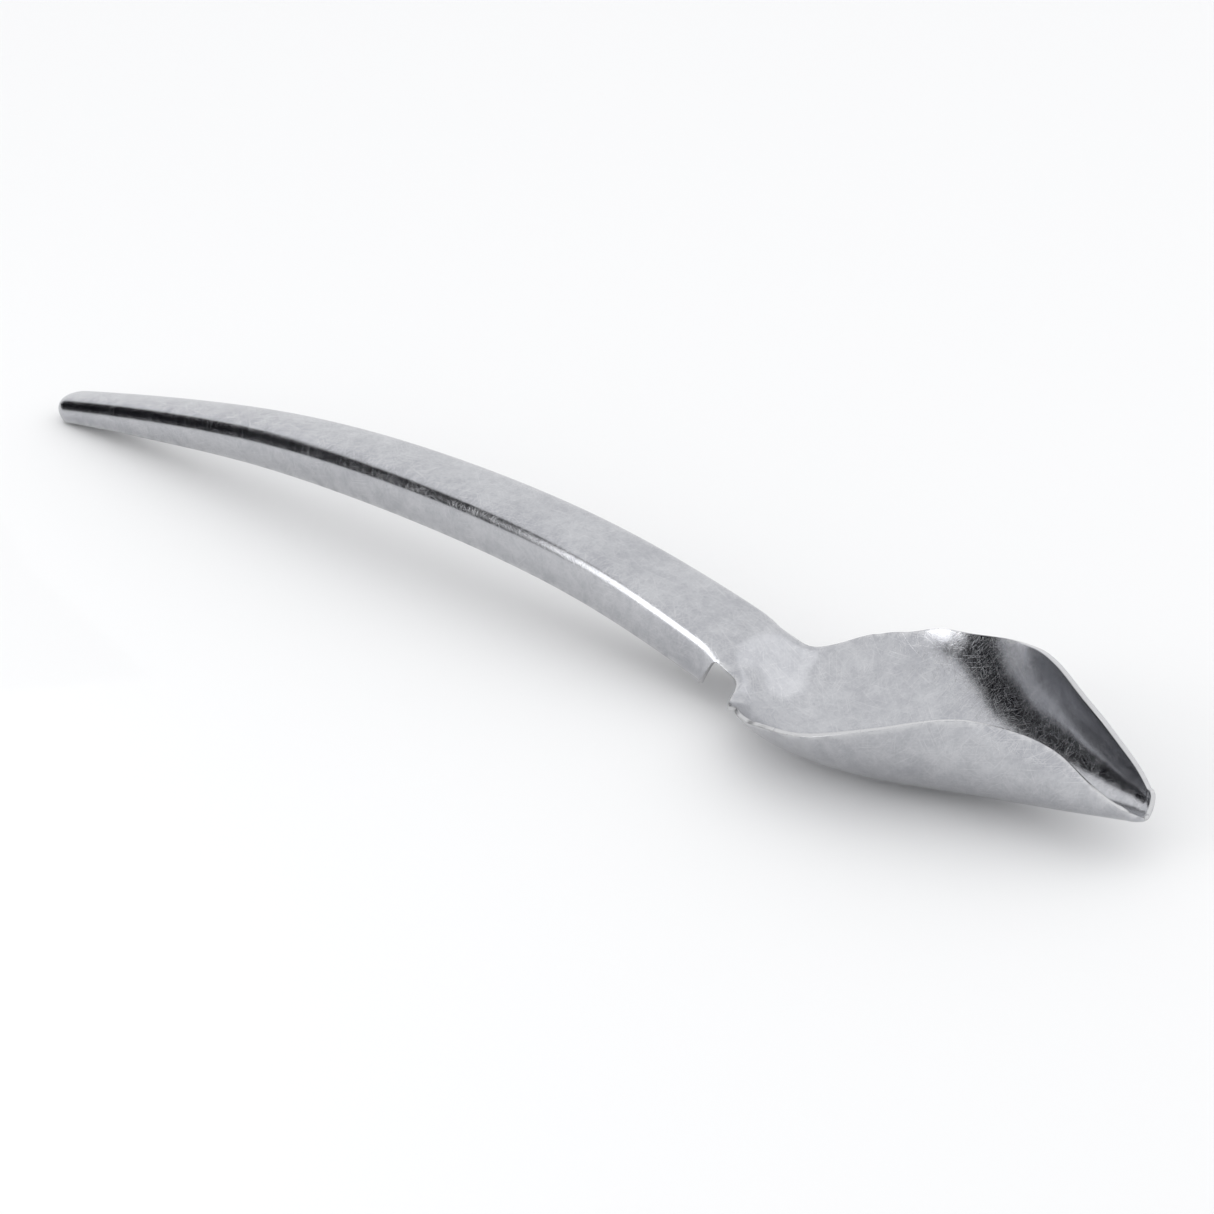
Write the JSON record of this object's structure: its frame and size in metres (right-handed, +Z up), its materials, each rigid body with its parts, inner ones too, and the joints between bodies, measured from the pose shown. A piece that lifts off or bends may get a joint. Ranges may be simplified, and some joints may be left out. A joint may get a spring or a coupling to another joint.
{
  "type": "ice scoop",
  "caption": "One-piece pressed steel bar scoop: pointed trough-shaped bowl on a long arched handle of inverted-U section.",
  "frame": {"origin": "centre of the bounding box's base; the scoop lies at rest on the heel of its bowl and the nose of its handle", "axes": "+X from the handle towards the bowl's tip, +Y sideways across the bowl, +Z up"},
  "size_m": [0.2662, 0.05, 0.0215],
  "materials": {
    "stainless_steel": "satin, finely tumbled, with brighter cut edges"
  },
  "bodies": {
    "root": {"scoop_body": "stainless_steel"}
  },
  "joints": []
}
